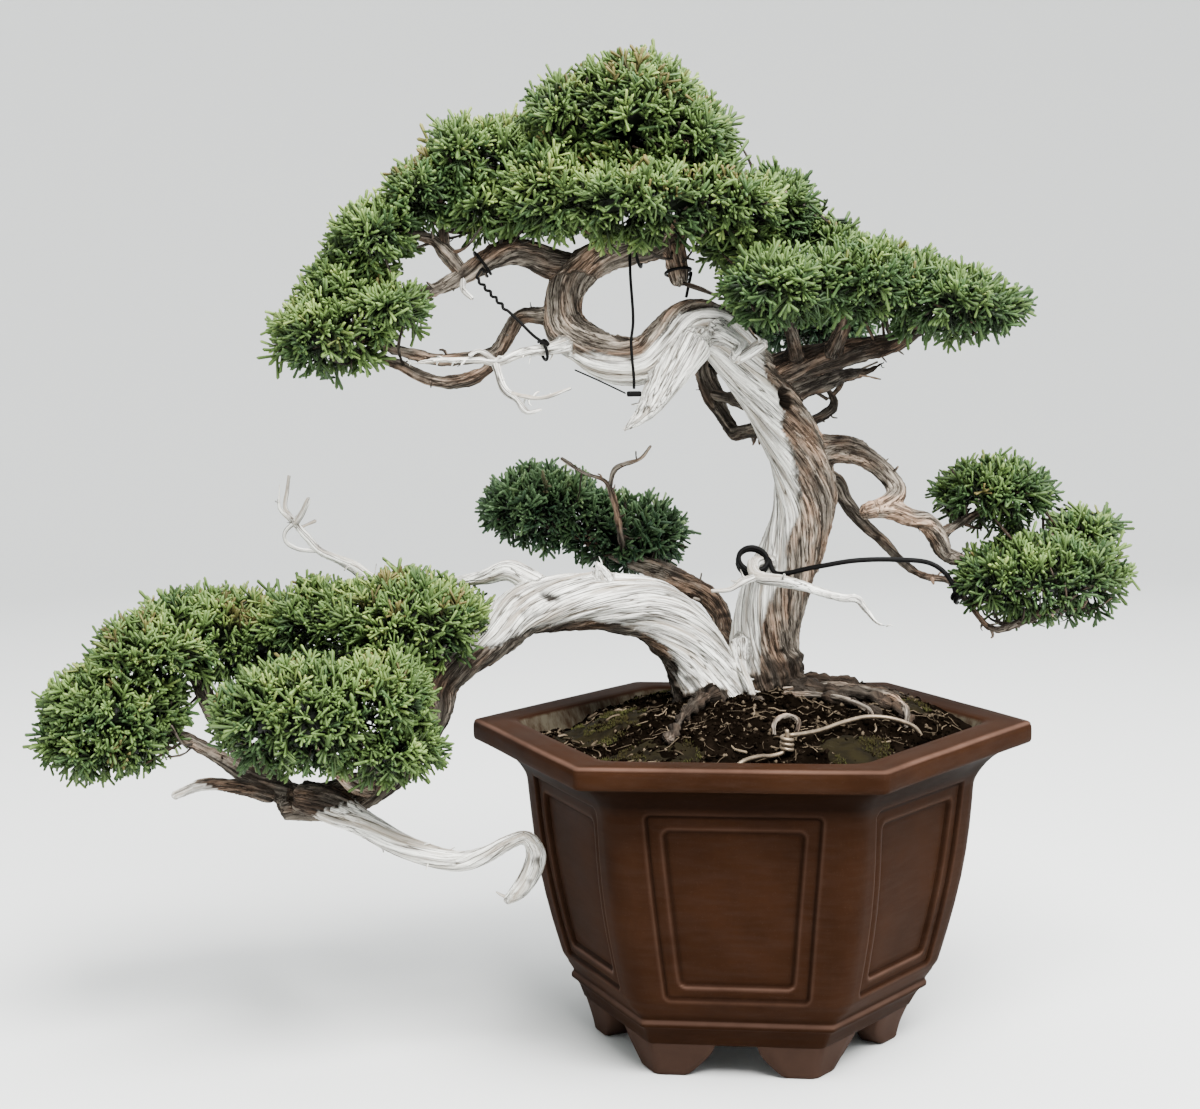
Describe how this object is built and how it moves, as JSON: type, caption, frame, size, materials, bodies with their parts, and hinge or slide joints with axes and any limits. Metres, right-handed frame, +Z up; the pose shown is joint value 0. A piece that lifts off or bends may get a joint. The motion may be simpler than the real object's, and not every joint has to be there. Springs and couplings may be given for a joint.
{
  "type": "shimpaku juniper bonsai in a six-sided pot",
  "caption": "Informal bonsai juniper with twisting deadwood, a second trunk that arches to the left, leafy pads, guy wires and a six-sided unglazed clay pot on bracket feet.",
  "frame": {"origin": "on the ground, under the middle of the whole tree's box", "axes": "+X to the viewer's right, +Y away from the viewer who faces the tree's front, +Z up"},
  "size_m": [0.4992, 0.2578, 0.446],
  "materials": {
    "clay": "unglazed red-brown stoneware, satin, with softened edges",
    "juniper_wood": "bleached grain on the deadwood, flaky grey-brown bark on the live strips",
    "leaf": "scale-leaf sprays, mid green with yellow-green tips",
    "leaf_shade": "scale-leaf sprays, darker bluish green",
    "earth": "damp dark potting soil with fibres",
    "moss": "short dry moss, brown to yellow-green",
    "black_wire": "black annealed wire, satin",
    "pale_wire": "dulled pale wire",
    "black_pad": "matt black pad",
    "mesh_plastic": "black plastic mesh"
  },
  "bodies": {
    "root": {"pot": "clay", "drain_mesh": "mesh_plastic", "tree_wood": "juniper_wood", "guy_pad": "black_pad", "soil": "earth", "guy_wire_left": "black_wire", "guy_wire_centre": "black_wire", "return_wire": "black_wire", "hook_wire": "black_wire", "ring_wire": "black_wire", "shaping_wire": "black_wire", "tie_wire": "pale_wire", "mesh_clip": "pale_wire", "moss_front_left": "moss", "moss_left": "moss", "moss_right": "moss", "moss_front_right": "moss", "moss_back": "moss", "foliage_crown_top": "leaf", "foliage_crown_front": "leaf", "foliage_crown_left": "leaf", "foliage_crown_right": "leaf", "foliage_crown_back": "leaf", "foliage_right_shoulder": "leaf", "foliage_right_inner": "leaf", "foliage_right_middle": "leaf", "foliage_right_outer": "leaf", "foliage_back_upper": "leaf_shade", "foliage_left_shoulder": "leaf", "foliage_left_middle": "leaf", "foliage_left_upper": "leaf", "foliage_low_far_left": "leaf", "foliage_low_back": "leaf", "foliage_low_front": "leaf", "foliage_low_inner": "leaf", "foliage_back_left": "leaf_shade", "foliage_back_right": "leaf_shade", "foliage_right_top": "leaf", "foliage_right_back": "leaf", "foliage_right_front": "leaf"}
  },
  "joints": []
}
